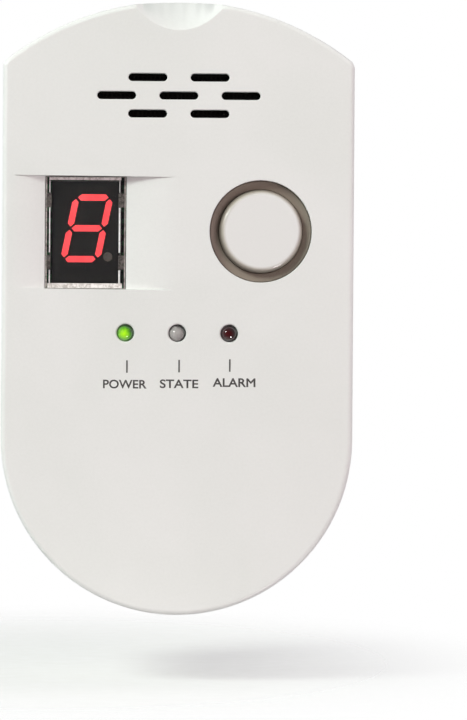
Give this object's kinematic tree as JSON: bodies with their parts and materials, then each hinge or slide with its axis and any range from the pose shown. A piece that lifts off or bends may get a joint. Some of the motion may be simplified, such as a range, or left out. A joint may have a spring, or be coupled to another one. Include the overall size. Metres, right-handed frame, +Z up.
{
  "type": "carbon monoxide detector",
  "caption": "White plug-in carbon monoxide detector with a red digit display, round test button, status LEDs and sounder slots, on a round mains plug.",
  "frame": {"origin": "centre of the plug's engagement face, midway between the two pins", "axes": "+Z up along the case, +Y out of the plug's face along the pins towards the wall, +X to the right as seen from the front; the front cover faces -Y"},
  "size_m": [0.065, 0.0747, 0.1135],
  "materials": {
    "white_plastic": "fine satin moulded ABS",
    "button_plastic": "smooth satin moulded ABS",
    "grey_plastic": "satin moulded",
    "clear_plastic": "polished clear polycarbonate",
    "display_black": "dark display face",
    "display_red": "lit diffuser",
    "display_grey": "unlit diffuser",
    "led_green": "lit tinted epoxy",
    "led_clear": "clear epoxy",
    "led_red": "unlit tinted epoxy",
    "black_plastic": "satin",
    "ivory_plastic": "satin",
    "tinned_metal": "tinned",
    "nickel_pin": "nickel-plated brass",
    "zinc_screw": "zinc-plated",
    "gold_pin": "gold-flashed",
    "board_green": "solder mask",
    "brown_lead": "PVC insulation",
    "blue_lead": "PVC insulation",
    "black_mesh": "woven dust mesh",
    "sensor_steel": "drawn steel",
    "ferrite": "sintered ferrite",
    "yellow_tape": "polyester tape",
    "fuse_brown": "moulded",
    "varistor_blue": "dipped epoxy",
    "capacitor_sleeve": "shrink sleeve",
    "label_paper": "blank satin label"
  },
  "bodies": {
    "case": {"front_cover": "white_plastic", "rear_housing": "white_plastic", "plug_insert": "white_plastic", "plug_pin_left": "nickel_pin", "plug_pin_right": "nickel_pin", "plug_screws": "zinc_screw", "live_lead": "brown_lead", "neutral_lead": "blue_lead", "display_window": "clear_plastic", "display_body": "display_black", "display_segments": "display_red", "display_point": "display_grey", "display_pins": "tinned_metal", "button_ring": "grey_plastic", "switch_body": "black_plastic", "switch_pins": "tinned_metal", "led_green": "led_green", "led_clear": "led_clear", "led_red": "led_red", "led_legs": "tinned_metal", "main_board": "board_green", "microcontroller": "black_plastic", "microcontroller_pins": "tinned_metal", "chip_resistors": "black_plastic", "buzzer": "black_plastic", "slot_mesh": "black_mesh", "sensor_base": "black_plastic", "sensor_cap": "sensor_steel", "sensor_pins": "gold_pin", "power_board": "board_green", "transformer_core": "ferrite", "transformer_bobbin": "black_plastic", "transformer_coil": "yellow_tape", "fuse": "fuse_brown", "varistor": "varistor_blue", "bridge_rectifier": "black_plastic", "smoothing_capacitors": "capacitor_sleeve", "voltage_regulator": "black_plastic", "link_header": "black_plastic", "link_pins": "gold_pin", "board_screws": "zinc_screw", "case_screws": "zinc_screw", "rating_label": "label_paper"},
    "button": {"test_button": "button_plastic"},
    "plunger": {"switch_plunger": "ivory_plastic"}
  },
  "joints": [
    {"name": "button_press", "type": "slide", "parent": "case", "child": "button", "axis": [0, 1, 0], "range_m": [0, 0.0012], "stiffness_N_per_m": 1500, "springref_m": -0.0004},
    {"name": "plunger_press", "type": "slide", "parent": "case", "child": "plunger", "axis": [0, 1, 0], "range_m": [0, 0.0012], "stiffness_N_per_m": 300, "springref_m": -0.0004}
  ],
  "couplings": [
    {"joint": "plunger_press", "follows": "button_press", "ratio": 1}
  ]
}
